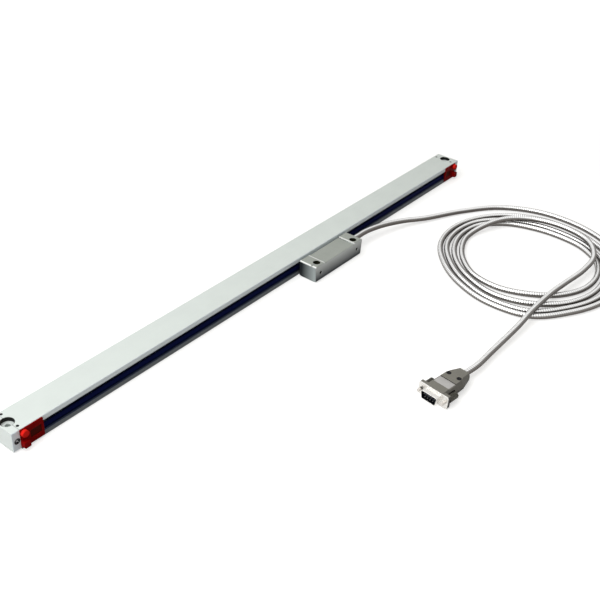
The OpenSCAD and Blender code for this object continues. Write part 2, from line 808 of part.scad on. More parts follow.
function coil_point(i) = [coil_centre.x + coil_radii[i] * sin(coil_step * i),
    coil_centre.y + coil_radii[i] * cos(coil_step * i), coil_height(i)];

function cable_route() = concat(cable_lead,
    [for (i = [0 : len(coil_radii) - 1]) coil_point(i)],
    cable_tail,
    [for (x = [hood_rear + 20, hood_rear + 1, cable_stop]) on_connector_axis(x)]);

function unit(v) = v / norm(v);

// One closed tube round a line of centres, level across its width
module swept_tube(centres, r, sides) {
    n = len(centres);
    points = [for (k = [0 : n - 1])
        let (run = unit(centres[min(k + 1, n - 1)] - centres[max(k - 1, 0)]),
            across = unit(cross([0, 0, 1], run)), over = cross(run, across))
        for (s = [0 : sides - 1])
            centres[k] + r * (across * cos(360 * s / sides) + over * sin(360 * s / sides))];
    skin = [for (k = [0 : n - 2], s = [0 : sides - 1])
        let (a = k * sides + s, b = k * sides + (s + 1) % sides)
        each [[a, a + sides, b], [b, a + sides, b + sides]]];
    ends = [[for (s = [0 : sides - 1]) s],
        [for (s = [sides - 1 : -1 : 0]) (n - 1) * sides + s]];
    polyhedron(points, concat(skin, ends));
}

module signal_cable() {
    color([0.72, 0.72, 0.70]) swept_tube(cable_route(), cable_r, ring_sides);
}

// ---- Connector ----

module at_connector() {
    translate([connector_pos.x, connector_pos.y, connector_z])
        rotate([0, 0, connector_turn]) children();
}

function arc(c, r, a0, a1) = [for (i = [0 : 4]) c + r * [cos(a0 + (a1 - a0) * i / 4),
    sin(a0 + (a1 - a0) * i / 4)]];

// The D outline, wide side up, with sides that lean 10 degrees
module d_outline(inset) {
    r = shell_r - inset;
    top = shell_w / 2 - shell_r;
    bottom = top - tan(10) * (shell_h - 2 * shell_r);
    z = shell_h / 2 - shell_r;
    polygon(concat(arc([top, z], r, -10, 90), arc([-top, z], r, 90, 190),
        arc([-bottom, -z], r, 190, 270), arc([bottom, -z], r, 270, 350)));
}

// The hood's outline at its middle plane: nearly straight to the waist, then narrower
module hood_outline() {
    w = hood_width / 2;
    r = 3;
    polygon(concat([[flange_t, -w], [hood_waist_x, -hood_waist]],
        arc([hood_rear - r, r - hood_rear_half], r, -75, 0),
        arc([hood_rear - r, hood_rear_half - r], r, 0, 75),
        [[hood_waist_x, hood_waist], [flange_t, w]]));
}

// Cuts both sides of the hood along planes that lean in from its rim to its top
module lean_sides(x, y, taper) {
    lean = atan(hood_side_inset / (hood_top_z - hood_rim));
    for (side = [0, 1]) mirror([0, side, 0]) translate([x, y, hood_rim]) rotate([0, 0, -taper])
        rotate([lean, 0, 0]) translate([-60, 0, -30]) cube([120, 30, 60]);
}

// One half of the hood, open towards its middle plane; the other half is its mirror
module hood_half(screw_r) {
    inside = hood_top_z - hood_wall;
    room = hood_width / 2 - hood_side_inset - 0.8;
    knob_room = jackscrew_spacing / 2 + 1.3;
    difference() {
        union() {
            difference() {
                linear_extrude(hood_top_z) hood_outline();
                lean_sides(flange_t, hood_width / 2,
                    atan((hood_width / 2 - hood_waist) / (hood_waist_x - flange_t)));
                lean_sides(hood_waist_x, hood_waist,
                    atan((hood_waist - hood_rear_half) / (hood_rear - 2 - hood_waist_x)));
                translate([hood_slope_x, -20, hood_top_z]) rotate([0,
                    atan((hood_top_z - hood_rear_top) / (hood_rear - hood_slope_x)), 0])
                    cube([30, 40, 10]);
            }
            block([flange_t, -flange_width / 2 + 0.3, 0],
                [flange_t + ear_t, flange_width / 2 - 0.3, flange_height / 2 - 0.3]);
        }
        difference() {
            translate([0, 0, -1]) linear_extrude(inside + 1)
                polygon([[flange_t, -room], [cable_stop, 2 - room], [cable_stop, room - 2],
                    [flange_t, room]]);
            for (side = [-1, 1]) post(hood_screw.x, side * hood_screw.y, 0, inside + 1, 2.6);
        }
        block([0, -shell_w / 2 + 1, -1], [flange_t + 3, shell_w / 2 - 1, shell_h / 2 - 0.6]);
        for (side = [-1, 1]) {
            post(hood_screw.x, side * hood_screw.y, -1, hood_height, screw_r);
            translate([0, side * jackscrew_spacing / 2, 0]) rotate([0, 90, 0])
                cylinder(r = jack_r + 0.08, h = knob_x0 + 1);
            block([knob_x0 - 0.4, side * knob_room - knob_d / 2 - 1.7, -1],
                [knob_x0 + knob_len + 1, side * knob_room + knob_d / 2 + 1.7, knob_d / 2 + 0.4]);
        }
        translate([cable_stop - 1, 0, 0]) rotate([0, 90, 0])
            cylinder(r = cable_r + 0.1, h = hood_rear - cable_stop + 2);
    }
}

// The upper half has a recess for a label from side to side, and two seats for its screws
module hood_top() {
    color([0.42, 0.42, 0.39]) at_connector() difference() {
        hood_half(1.2);
        block([flange_t + 8.7, -hood_width, hood_top_z - 0.8],
            [flange_t + 18.8, hood_width, hood_height]);
        for (side = [-1, 1])
            post(hood_screw.x, side * hood_screw.y, hood_top_z - 1.5, hood_height, 2.3);
    }
}

module hood_bottom() {
    color([0.42, 0.42, 0.39]) at_connector() mirror([0, 0, 1]) hood_half(0.9);
}

module connector_shell() {
    color([0.80, 0.79, 0.75]) at_connector() difference() {
        union() {
            along_x(0, flange_t) rounded_rect([-flange_width / 2, -flange_height / 2],
                [flange_width / 2, flange_height / 2], 1.6);
            along_x(-shell_len, small) d_outline(0);
        }
        along_x(-shell_len - 1, flange_t + 1) d_outline(shell_t);
        for (side = [-1, 1]) translate([-1, side * jackscrew_spacing / 2, 0]) rotate([0, 90, 0])
            cylinder(r = jack_r + 0.08, h = 4);
    }
}

module pin_places() {
    for (i = [-2 : 2]) translate([0, i * pin_pitch, pin_row]) children();
    for (i = [-1.5 : 1.5]) translate([0, i * pin_pitch, -pin_row]) children();
}

module connector_insert() {
    color([0.05, 0.07, 0.14]) at_connector() difference() {
        union() {
            along_x(-1.2, flange_t) d_outline(shell_t);
            block([flange_t, -shell_w / 2 + 1.1, -shell_h / 2 + 0.8],
                [flange_t + 2.8, shell_w / 2 - 1.1, shell_h / 2 - 0.8]);
        }
        pin_places() translate([-2, 0, 0]) rotate([0, 90, 0]) cylinder(r = 0.5, h = 8, $fn = 16);
    }
}

module connector_pins() {
    color([0.82, 0.70, 0.40]) at_connector() pin_places() union() {
        translate([-5, 0, 0]) rotate([0, 90, 0]) cylinder(r = 0.5, h = 10.5, $fn = 16);
        translate([-5.4, 0, 0]) rotate([0, 90, 0]) cylinder(r1 = 0.25, r2 = 0.5, h = 0.4, $fn = 16);
    }
}

module cable_clamp() {
    inside = hood_top_z - hood_wall;
    color([0.6, 0.6, 0.58]) at_connector() difference() {
        block([cable_stop - clamp_t, -5, -inside], [cable_stop, 5, inside]);
        translate([cable_stop - clamp_t - 1, 0, 0]) rotate([0, 90, 0]) cylinder(r = 2, h = 5);
    }
}

module hood_screws() {
    color([0.08, 0.08, 0.08]) at_connector() for (side = [-1, 1])
        translate([hood_screw.x, side * hood_screw.y, 0]) difference() {
            union() {
                translate([0, 0, hood_top_z - 1.5]) cylinder(r = 2.1, h = 1.4);
                translate([0, 0, 1 - hood_top_z]) cylinder(r = 0.85, h = hood_height - 2);
            }
            block([-2.4, -0.3, hood_top_z - 0.8], [2.4, 0.3, hood_top_z + 1]);
        }
}

// A jackscrew: a ridged knob with a slot, and a screw that reaches through the flange
module jackscrew() {
    ridges = 14;
    difference() {
        union() {
            rotate([0, 90, 0]) translate([0, 0, -4.6]) cylinder(r = jack_r, h = knob_x0 + 4.7);
            translate([knob_x0, 0, 0]) rotate([0, 90, 0]) cylinder(r = knob_d / 2, h = knob_len);
        }
        for (i = [1 : ridges]) rotate([i * 360 / ridges, 0, 0])
            block([knob_x0 + 1, -0.3, knob_d / 2 - 0.35],
                [knob_x0 + knob_len - 1, 0.3, knob_d / 2 + 1]);
        block([knob_x0 + knob_len - 1, -4, -0.4], [knob_x0 + knob_len + 1, 4, 0.4]);
    }
}

module jackscrew_front() {
    color([0.10, 0.10, 0.10]) at_connector() translate([0, -jackscrew_spacing / 2, 0]) jackscrew();
}

module jackscrew_back() {
    color([0.10, 0.10, 0.10]) at_connector() translate([0, jackscrew_spacing / 2, 0]) jackscrew();
}

housing();
glass_scale();
glass_strip();
upper_lip();
lower_lip();
end_cap_left();
end_cap_right();
end_gasket_left();
end_gasket_right();
end_screws();
roof_screws();
lip_clip_left();
lip_clip_right();
head_body();
head_cover();
cover_screws();
blade();
blade_screws();
coupling_spring();
carriage();
lamp();
condenser_lens();
index_grating();
sensor_board();
head_board();
board_screws();
face_axles();
edge_axles();
face_roller_left();
face_roller_right();
edge_roller_left();
edge_roller_right();
cable_gland();
signal_cable();
hood_top();
hood_bottom();
connector_shell();
connector_insert();
connector_pins();
cable_clamp();
hood_screws();
jackscrew_front();
jackscrew_back();
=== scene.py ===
"""A sealed linear glass scale: an aluminium section with end caps, sealing lips and red lip
clips, a cast reader head, an armoured cable laid in loose turns and a nine-pin plug.
Everything is in metres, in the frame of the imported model."""
import math

import bpy
import numpy as np
from mathutils import Matrix, Vector


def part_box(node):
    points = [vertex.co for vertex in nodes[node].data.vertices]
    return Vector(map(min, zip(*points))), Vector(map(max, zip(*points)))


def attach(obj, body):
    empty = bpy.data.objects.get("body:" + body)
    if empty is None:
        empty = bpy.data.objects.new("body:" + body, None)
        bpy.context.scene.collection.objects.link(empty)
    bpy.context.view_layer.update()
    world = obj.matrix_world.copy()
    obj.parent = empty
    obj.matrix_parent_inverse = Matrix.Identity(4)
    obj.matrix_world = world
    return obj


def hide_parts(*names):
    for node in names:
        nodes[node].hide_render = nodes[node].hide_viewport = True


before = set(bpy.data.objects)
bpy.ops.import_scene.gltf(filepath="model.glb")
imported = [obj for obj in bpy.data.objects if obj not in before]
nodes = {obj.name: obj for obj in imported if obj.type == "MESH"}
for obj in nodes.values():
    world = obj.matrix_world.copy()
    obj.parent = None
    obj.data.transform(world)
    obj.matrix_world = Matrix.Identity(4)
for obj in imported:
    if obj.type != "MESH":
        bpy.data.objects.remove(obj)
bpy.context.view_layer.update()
bpy.ops.object.select_all(action="DESELECT")


# ---- Camera ----
# A long lens above the left-hand end and in front of the scale, looking along it and down.
eye = Vector((-0.6283, -0.4991, 0.5115))
look = Vector((0.66689, 0.49541, -0.55662))
right = Vector((0.62134, -0.78205, 0.04838))
up = right.cross(look).normalized()
bpy.ops.object.camera_add()
camera = bpy.context.object
camera.name = "camera"
camera.data.lens = 56.74
camera.data.sensor_width = 36
camera.matrix_world = Matrix.Translation(eye) @ Matrix((right, up, -look)).transposed().to_4x4()
bpy.context.scene.camera = camera


# ---- Housing ----
# The carrier of the scale: an aluminium section pressed through a die, then satin anodised.
# Fine lines run along it and its edges are rubbed bright. The fronts of the flanges that hold
# the lips are painted a bluer tint for the cooler light on them; the lower one is painted dark
# as painted shade, with a near-black strip of painted shade along its top, below the lips.
EXTRUSION_TOP = (0.80, 0.865, 0.84)
EXTRUSION_LINE = (0.75, 0.81, 0.79)
FLANGE_FRONT_COOL_LIGHT = (0.80, 0.87, 0.90)
FLANGE_LOWER_SHADE = (0.18, 0.197, 0.212)
LOWER_FLANGE_STRIP_SHADE = (0.008, 0.013, 0.030)
BARE_EDGE = (0.86, 0.88, 0.87)
FRONT_DEPTH = 0.0006
LOWER_FLANGE_TOP = 0.0066
SHADE_STRIP_Z = (0.0048, 0.0068)
SATIN_METAL = 0.1


def put(tree, kind, sockets=None, **settings):
    """Adds a shader node. A socket is given a value, or the output that feeds it."""
    node = tree.nodes.new("ShaderNode" + kind)
    for key, value in settings.items():
        setattr(node, key, value)
    for key, value in (sockets or {}).items():
        if isinstance(value, bpy.types.NodeSocket):
            tree.links.new(value, node.inputs[key])
        else:
            node.inputs[key].default_value = value
    return node


def shared_group(name, inputs, outputs):
    """An empty group of shader nodes with named sockets, and its two end nodes."""
    group = bpy.data.node_groups.new(name, "ShaderNodeTree")
    for way, sockets in (("INPUT", inputs), ("OUTPUT", outputs)):
        for label, kind in sockets.items():
            group.interface.new_socket(label, in_out=way, socket_type="NodeSocket" + kind)
    return group, group.nodes.new("NodeGroupInput"), group.nodes.new("NodeGroupOutput")


# Grain of a finish: broad cloudy changes, and the fine specks or drawn lines between them
surface_grain, ins, outs = shared_group(
    "surface_grain", {"Scale": "Float", "Stretch": "Vector"}, {"Cloud": "Float", "Speck": "Float"})
spot_at = put(surface_grain, "TexCoord").outputs["Object"]
stretched = put(surface_grain, "Mapping", {"Vector": spot_at, "Scale": ins.outputs["Stretch"]})
cloud = put(surface_grain, "TexNoise", {"Vector": spot_at, "Scale": 60, "Detail": 3})
speck = put(surface_grain, "TexNoise", {"Vector": stretched.outputs["Vector"],
                                        "Scale": ins.outputs["Scale"], "Detail": 4,
                                        "Roughness": 0.65})
for noise, socket in ((cloud, "Cloud"), (speck, "Speck")):
    spread = put(surface_grain, "MapRange", {"Value": noise.outputs["Fac"], "From Min": 0.3,
                                             "From Max": 0.7})
    surface_grain.links.new(spread.outputs["Result"], outs.inputs[socket])

# Edges: a normal that rounds them, and a mask of the rim that rubbing has brightened
worn_edge, ins, outs = shared_group(
    "worn_edge", {"Radius": "Float"}, {"Rim": "Float", "Normal": "Vector"})
rounded = put(worn_edge, "Bevel", {"Radius": ins.outputs["Radius"]}, samples=6)
facing = put(worn_edge, "VectorMath", {0: rounded.outputs["Normal"],
                                       1: put(worn_edge, "NewGeometry").outputs["Normal"]},
             operation="DOT_PRODUCT")
rim = put(worn_edge, "MapRange", {"Value": facing.outputs["Value"], "From Min": 0.99,
                                  "From Max": 0.8})
worn_edge.links.new(rim.outputs["Result"], outs.inputs["Rim"])
worn_edge.links.new(rounded.outputs["Normal"], outs.inputs["Normal"])


def new_material(name, colour, roughness, metallic=0.0, gloss=0.5):
    """A material with one Principled shader, and that shader."""
    material = bpy.data.materials.new(name)
    material.use_nodes = True
    shader = material.node_tree.nodes["Principled BSDF"]
    shader.inputs["Base Color"].default_value = (*colour, 1)
    shader.inputs["Roughness"].default_value = roughness
    shader.inputs["Metallic"].default_value = metallic
    shader.inputs["Specular IOR Level"].default_value = gloss
    return material, shader


def blend_colour(tree, share, low, high):
    """A colour between two others; each may be a plain colour or a node's output."""
    low, high = (c if isinstance(c, bpy.types.NodeSocket) else (*c, 1) for c in (low, high))
    return put(tree, "Mix", {"Factor": share, "A": low, "B": high},
               data_type="RGBA").outputs["Result"]


def finish(name, colours, roughness, metallic, scale, stretch=(1, 1, 1), relief=0.1,
           bright=(0.8, 0.8, 0.8), wear=0.4, radius=0.0003, gloss=0.5):
    """A worked surface: two colours in grain, a roughness that varies, rounded worn edges."""
    material, shader = new_material(name, colours[0], roughness[0], metallic, gloss)
    tree = material.node_tree
    grain = put(tree, "Group", node_tree=surface_grain)
    grain.inputs["Scale"].default_value = scale
    grain.inputs["Stretch"].default_value = stretch
    edge = put(tree, "Group", node_tree=worn_edge)
    edge.inputs["Radius"].default_value = radius
    both = put(tree, "Math", {0: grain.outputs["Cloud"], 1: grain.outputs["Speck"]},
               operation="MULTIPLY")
    ground = blend_colour(tree, both.outputs[0], *colours)
    rubbed = put(tree, "Math", {0: edge.outputs["Rim"], 1: wear}, operation="MULTIPLY")
    worn = blend_colour(tree, rubbed.outputs[0], ground, bright)
    tree.links.new(worn, shader.inputs["Base Color"])
    dull = put(tree, "MapRange", {"Value": grain.outputs["Cloud"], "To Min": roughness[0],
                                  "To Max": roughness[1]})
    tree.links.new(dull.outputs["Result"], shader.inputs["Roughness"])
    bump = put(tree, "Bump", {"Strength": relief, "Distance": 0.0002,
                              "Height": grain.outputs["Speck"],
                              "Normal": edge.outputs["Normal"]})
    tree.links.new(bump.outputs["Normal"], shader.inputs["Normal"])
    return material, tree, shader, ground, worn


def dress(material, *names):
    """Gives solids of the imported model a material."""
    for name in names:
        for slot in nodes[name].material_slots:
            slot.material = material


def inside(tree, low, high):
    """1 within a box of the part's own space, given its two corners; None leaves a side open."""
    place = put(tree, "SeparateXYZ", {0: put(tree, "TexCoord").outputs["Object"]})
    share = None
    for axis, (a, b) in enumerate(zip(low, high)):
        for limit, test in ((a, "GREATER_THAN"), (b, "LESS_THAN")):
            if limit is not None:
                side = put(tree, "Math", {0: place.outputs[axis], 1: limit}, operation=test)
                share = side.outputs[0] if share is None else put(
                    tree, "Math", {0: share, 1: side.outputs[0]}, operation="MULTIPLY").outputs[0]
    return share


housing_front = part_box("housing")[0].y
drawn_aluminium, tree, shader, _, worn = finish(
    "drawn_aluminium", (EXTRUSION_TOP, EXTRUSION_LINE), (0.46, 0.58), SATIN_METAL, 2600,
    stretch=(0.02, 1, 1), relief=0.08, bright=BARE_EDGE, wear=0.5, radius=0.0005, gloss=0.12)
flange_back = housing_front + FRONT_DEPTH
# A bluer tint painted on the front faces, for the cooler light on them
flanges = blend_colour(tree, inside(tree, (None, None, None), (None, flange_back, None)), worn,
                       FLANGE_FRONT_COOL_LIGHT)
# The lower flange painted dark, as painted shade
flanges = blend_colour(tree, inside(tree, (None, None, None),
                                    (None, flange_back, LOWER_FLANGE_TOP)), flanges, FLANGE_LOWER_SHADE)
# A near-black strip of painted shade along the top of the lower flange, below the lips
on_shade_strip = inside(tree, (None, None, SHADE_STRIP_Z[0]),
                 (None, flange_back + FRONT_DEPTH, SHADE_STRIP_Z[1]))
tree.links.new(blend_colour(tree, on_shade_strip, flanges, LOWER_FLANGE_STRIP_SHADE), shader.inputs["Base Color"])
metal = put(tree, "MapRange", {"Value": on_shade_strip, "To Min": SATIN_METAL, "To Max": 1.0})
tree.links.new(metal.outputs["Result"], shader.inputs["Metallic"])
dress(drawn_aluminium, "housing")


# ---- Glass scale ----
# A strip of float glass with a track of fine chrome lines and reference marks under its face,
# clamped at its back edge by a rubber strip.
GLASS_TINT = (0.80, 0.92, 0.88)
CHROME_LINES = (0.42, 0.44, 0.46)
LINE_PERIOD = 0.0004
LINE_WIDTH = LINE_PERIOD / 2
REFERENCE_PERIOD = 0.05
REFERENCE_WIDTH = 0.0006
LINE_TRACK = (0.0022, 0.0058)
REFERENCE_TRACK = (0.0006, 0.0018)

glass_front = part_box("glass_scale")[0].y
ruled_glass, glass = new_material("ruled_glass", GLASS_TINT, 0.05)
glass.inputs["Transmission Weight"].default_value = 0.85
glass.inputs["IOR"].default_value = 1.52
tree = ruled_glass.node_tree
along = put(tree, "SeparateXYZ", {0: put(tree, "TexCoord").outputs["Object"]}).outputs[0]
tracks = []
for period, width, (near, far) in ((LINE_PERIOD, LINE_WIDTH, LINE_TRACK),
                                   (REFERENCE_PERIOD, REFERENCE_WIDTH, REFERENCE_TRACK)):
    to_line = put(tree, "Math", {0: along, 1: period}, operation="PINGPONG")
    on_line = put(tree, "Math", {0: to_line.outputs[0], 1: width}, operation="LESS_THAN")
    on_track = inside(tree, (None, glass_front + near, None), (None, glass_front + far, None))
    tracks.append(put(tree, "Math", {0: on_line.outputs[0], 1: on_track}, operation="MULTIPLY"))
ruled = put(tree, "Math", {0: tracks[0].outputs[0], 1: tracks[1].outputs[0]},
            operation="MAXIMUM")
tree.links.new(blend_colour(tree, ruled.outputs[0], GLASS_TINT, CHROME_LINES),
               glass.inputs["Base Color"])
dress(ruled_glass, "glass_scale")

soft_rubber, *_ = finish("soft_rubber", ((0.018, 0.018, 0.018), (0.035, 0.034, 0.032)),
                         (0.6, 0.8), 0.0, 1800, relief=0.25, bright=(0.06, 0.06, 0.06),
                         gloss=0.25)
dress(soft_rubber, "glass_strip")


# ---- Sealing lips ----
# Two extruded lips of dark blue polyurethane that lean together along the slot, each held by a
# bead in its groove. The upper one is painted nearly black as painted shade; the lower one
# shows its colour.
UPPER_LIP_PAINTED_SHADE = ((0.002, 0.003, 0.010), (0.004, 0.006, 0.018))
LOWER_LIP = ((0.003, 0.006, 0.052), (0.006, 0.010, 0.066))

# The upper lip's near-black colour is painted shade
for name, colours, node in (("upper_lip_shaded_rubber", UPPER_LIP_PAINTED_SHADE, "upper_lip"),
                            ("lower_lip_rubber", LOWER_LIP, "lower_lip")):
    lip_rubber, *_ = finish(name, colours, (0.45, 0.6), 0.0, 1500, stretch=(0.03, 1, 1),
                            relief=0.15, bright=(0.02, 0.025, 0.06), wear=0.3, gloss=0.02)
    dress(lip_rubber, node)


# ---- End caps ----
# Die-cast plugs with a plate that closes each end of the section. They are blasted satin, a
# shade softer than the drawn section, and rubbed along their edges. Their front faces are
# painted a bluer tint, standing for the cooler light on them.
CAP_SATIN = ((0.81, 0.87, 0.85), (0.75, 0.80, 0.79))
CAP_FRONT_COOL_LIGHT = (0.78, 0.86, 0.91)
SHEET_GREY = (0.50, 0.52, 0.51)
RECESS_PAINTED_SHADE = (0.010, 0.010, 0.009)
RECESS_MIDDLE = 0.323
RECESS_SHADE_HALF = 0.0059

cap_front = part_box("end_cap_left")[0].y
blasted_cap, tree, shader, _, worn = finish(
    "blasted_cap", CAP_SATIN, (0.5, 0.62), SATIN_METAL, 3200, relief=0.2, bright=BARE_EDGE,
    wear=0.6, radius=0.0005, gloss=0.12)
# A bluer tint painted on the front faces, for the cooler light on them
on_front = inside(tree, (None, None, None), (None, cap_front + FRONT_DEPTH, None))
tree.links.new(blend_colour(tree, on_front, worn, CAP_FRONT_COOL_LIGHT), shader.inputs["Base Color"])
dress(blasted_cap, "end_cap_left", "end_cap_right")

# The gasket: a thin pale sheet, with a black ring of painted shade round the recess of each cap
gasket_sheet, tree, shader, ground, _ = finish(
    "gasket_sheet", (SHEET_GREY, SHEET_GREY), (0.6, 0.8), 0.0, 1800, relief=0.2, gloss=0.2)
for middle in (-RECESS_MIDDLE, RECESS_MIDDLE):
    # Painted shade in the recess
    on_recess_shade = inside(tree, (middle - RECESS_SHADE_HALF, -RECESS_SHADE_HALF, None),
                       (middle + RECESS_SHADE_HALF, RECESS_SHADE_HALF, None))
    ground = blend_colour(tree, on_recess_shade, ground, RECESS_PAINTED_SHADE)
tree.links.new(ground, shader.inputs["Base Color"])
dress(gasket_sheet, "end_gasket_left", "end_gasket_right")


# ---- Screws of the ends ----
# Steel screws in black oxide. Two small ones hold each cap through the roof, and a larger one
# sits in the front of the cap, with a painted highlight in its socket.
OXIDE_BLACK = ((0.010, 0.010, 0.012), (0.02, 0.02, 0.024))
OXIDE_RUBBED = (0.30, 0.30, 0.31)
SOCKET_HIGHLIGHT = (0.70, 0.72, 0.73)
SOCKET_OFFSET = 0.0027
SOCKET_HALF = 0.0011

black_oxide, *_ = finish("black_oxide", OXIDE_BLACK, (0.35, 0.5), 0.3, 2500, relief=0.15,
                         bright=OXIDE_RUBBED, wear=0.4, radius=0.0002, gloss=0.12)
dress(black_oxide, "roof_screws")
socket_screw, tree, shader, _, worn = finish(
    "socket_screw", OXIDE_BLACK, (0.35, 0.5), 0.4, 2500, relief=0.15, bright=OXIDE_RUBBED,
    wear=0.5, radius=0.0002, gloss=0.1)
screw_low, screw_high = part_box("end_screws")
screw_z = (screw_low.z + screw_high.z) / 2
# A painted highlight in the socket of each front screw
for x in (screw_low.x + SOCKET_OFFSET, screw_high.x - SOCKET_OFFSET):
    in_socket_highlight = inside(tree, (x - SOCKET_HALF, None, screw_z - SOCKET_HALF),
                       (x + SOCKET_HALF, None, screw_z + SOCKET_HALF))
    worn = blend_colour(tree, in_socket_highlight, worn, SOCKET_HIGHLIGHT)
tree.links.new(worn, shader.inputs["Base Color"])
dress(socket_screw, "end_screws")


# ---- Lip clips ----
# Red acetal mouldings pressed over the ends of the lips. Their skin has a faint flow pattern.
# The noses carry painted light, brightest at the top, and the floor of the pocket is painted
# dark as painted shade.
CLIP_RED = ((0.25, 0.003, 0.003), (0.19, 0.002, 0.002))
CLIP_NOSE_PAINTED_LIGHT = ((0.27, 0.003, 0.003), (0.85, 0.020, 0.014))
CLIP_POCKET_SHADE = (0.075, 0.006, 0.003)
POCKET_INSET = (0.009, 0.002)
POCKET_MARGIN = (0.005, 0.0054)
POCKET_PROUD = 0.0008
NOSE_DEPTH = 0.0038
NOSE_LIGHT_FADE = (0.008, 0.004)

clip_low, clip_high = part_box("lip_clip_left")
moulded_red, tree, shader, _, worn = finish(
    "moulded_red", CLIP_RED, (0.3, 0.42), 0.0, 900, relief=0.06, bright=(0.45, 0.010, 0.008),
    wear=0.5, radius=0.0006, gloss=0.01)
pocket_low, pocket_high = clip_low.x + POCKET_INSET[0], clip_high.x - POCKET_INSET[1]
# Painted shade on the floor of each pocket
for x0, x1 in ((pocket_low, pocket_high), (-pocket_high, -pocket_low)):
    in_pocket_shade = inside(tree, (x0, housing_front - POCKET_PROUD, clip_low.z + POCKET_MARGIN[0]),
                       (x1, None, clip_high.z - POCKET_MARGIN[1]))
    worn = blend_colour(tree, in_pocket_shade, worn, CLIP_POCKET_SHADE)
# Painted light on the noses, brightest at the top
clip_height = put(tree, "SeparateXYZ", {0: put(tree, "TexCoord").outputs["Object"]}).outputs[2]
nose_light_rise = put(tree, "MapRange", {"Value": clip_height, "From Min": clip_low.z + NOSE_LIGHT_FADE[0],
                              "From Max": clip_high.z - NOSE_LIGHT_FADE[1]})
nose_painted_light = blend_colour(tree, nose_light_rise.outputs["Result"], *CLIP_NOSE_PAINTED_LIGHT)
on_nose = inside(tree, (None, None, None), (None, clip_low.y + NOSE_DEPTH, None))
tree.links.new(blend_colour(tree, on_nose, worn, nose_painted_light), shader.inputs["Base Color"])
dress(moulded_red, "lip_clip_left", "lip_clip_right")


# ---- Reader head ----
# A zinc casting with a raised pad round each pair of holes, blasted and lacquered grey. Its
# edges are rubbed bright. Painted highlights run along the rounded corners near the ends and
# the steps of the pads; painted shade darkens the sides towards the foot, the ends towards the
# housing, and the holes. A sheet closes it from below, held by zinc-plated screws.
HEAD_GREY = ((0.42, 0.45, 0.415), (0.36, 0.39, 0.36))
SIDE_PAINTED_LIGHT = (0.60, 0.63, 0.63)
SIDE_PAINTED_SHADE = (0.035, 0.042, 0.050)
END_PAINTED_LIGHT = (0.42, 0.47, 0.47)
END_PAINTED_SHADE = (0.025, 0.03, 0.035)
CORNER_HIGHLIGHT = (0.93, 0.95, 0.94)
STEP_HIGHLIGHT = (0.90, 0.92, 0.91)
HOLE_SHADE = (0.022, 0.025, 0.014)
PAD_LENGTH = 0.0135
STEP_HEIGHT = 0.0012
LEFT_STEP_BAND = (0.0003, 0.0007)
RIGHT_STEP_BAND = (0.0006, 0.0007)
SIDE_FADE = (0.003, 0.002)
END_FADE = 0.003
HOLE_SPACING = 0.0618
HOLE_Y = -0.0309
HOLE_HALF = 0.0039
HOLE_RIM = 0.0003
HOLE_FOOT = 0.002
FRONT_HOLE_HALF = 0.0017
FRONT_HOLE_Z = 0.0095
FRONT_HOLE_RIM = 0.0002
FRONT_HOLE_DEPTH = 0.006

head_low, head_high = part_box("head_body")
head_middle = (head_low.x + head_high.x) / 2
lacquered_casting, tree, shader, _, worn = finish(
    "lacquered_casting", HEAD_GREY, (0.36, 0.48), 0.12, 2200, stretch=(0.12, 1, 1), relief=0.22,
    bright=(0.95, 0.96, 0.95), wear=0.5, radius=0.0007, gloss=0.12)
coords = put(tree, "TexCoord")
place = put(tree, "SeparateXYZ", {0: coords.outputs["Object"]})
turn = put(tree, "SeparateXYZ", {0: coords.outputs["Normal"]})
lean = put(tree, "SeparateXYZ", {0: put(tree, "VectorMath", {0: coords.outputs["Normal"]},
                                        operation="ABSOLUTE").outputs["Vector"]})
# Painted shade: sides darken from the top towards the foot, ends from the front to the housing
shade_down = put(tree, "MapRange", {"Value": place.outputs[2], "From Min": head_high.z - SIDE_FADE[0],
                              "From Max": head_low.z + SIDE_FADE[1]})
shade_inward = put(tree, "MapRange", {"Value": place.outputs[1], "From Min": head_low.y + END_FADE,
                                "From Max": head_high.y - END_FADE})
on_shaded_side = put(tree, "MapRange", {"Value": turn.outputs[2], "From Min": 0.8, "From Max": 0.3})
on_end = put(tree, "MapRange", {"Value": lean.outputs[0], "From Min": 0.5, "From Max": 0.95})
upright_painted_shade = blend_colour(tree, on_end.outputs["Result"],
                       blend_colour(tree, shade_down.outputs["Result"], SIDE_PAINTED_LIGHT, SIDE_PAINTED_SHADE),
                       blend_colour(tree, shade_inward.outputs["Result"], END_PAINTED_LIGHT, END_PAINTED_SHADE))
shaded = blend_colour(tree, on_shaded_side.outputs["Result"], worn, upright_painted_shade)

# Painted highlight where the surface turns from one face to another near an end
steepest = put(tree, "Math", {0: lean.outputs[0], 1: lean.outputs[1]}, operation="MAXIMUM")
steepest = put(tree, "Math", {0: steepest.outputs[0], 1: lean.outputs[2]}, operation="MAXIMUM")
between = put(tree, "MapRange", {"Value": steepest.outputs[0], "From Min": 0.985,
                                 "From Max": 0.85})
to_end = put(tree, "MapRange", {"Value": lean.outputs[0], "From Min": 0.1, "From Max": 0.4})
on_corner_highlight = put(tree, "Math", {0: between.outputs["Result"], 1: to_end.outputs["Result"]},
                operation="MULTIPLY")
shaded = blend_colour(tree, on_corner_highlight.outputs[0], shaded, CORNER_HIGHLIGHT)
# Painted highlights along the steps of the pads
for step, (before, behind) in ((head_low.x + PAD_LENGTH, LEFT_STEP_BAND),
                               (head_high.x - PAD_LENGTH, RIGHT_STEP_BAND)):
    on_step_highlight = inside(tree, (step - before, None, head_high.z - STEP_HEIGHT),
                     (step + behind, None, None))
    shaded = blend_colour(tree, on_step_highlight, shaded, STEP_HIGHLIGHT)
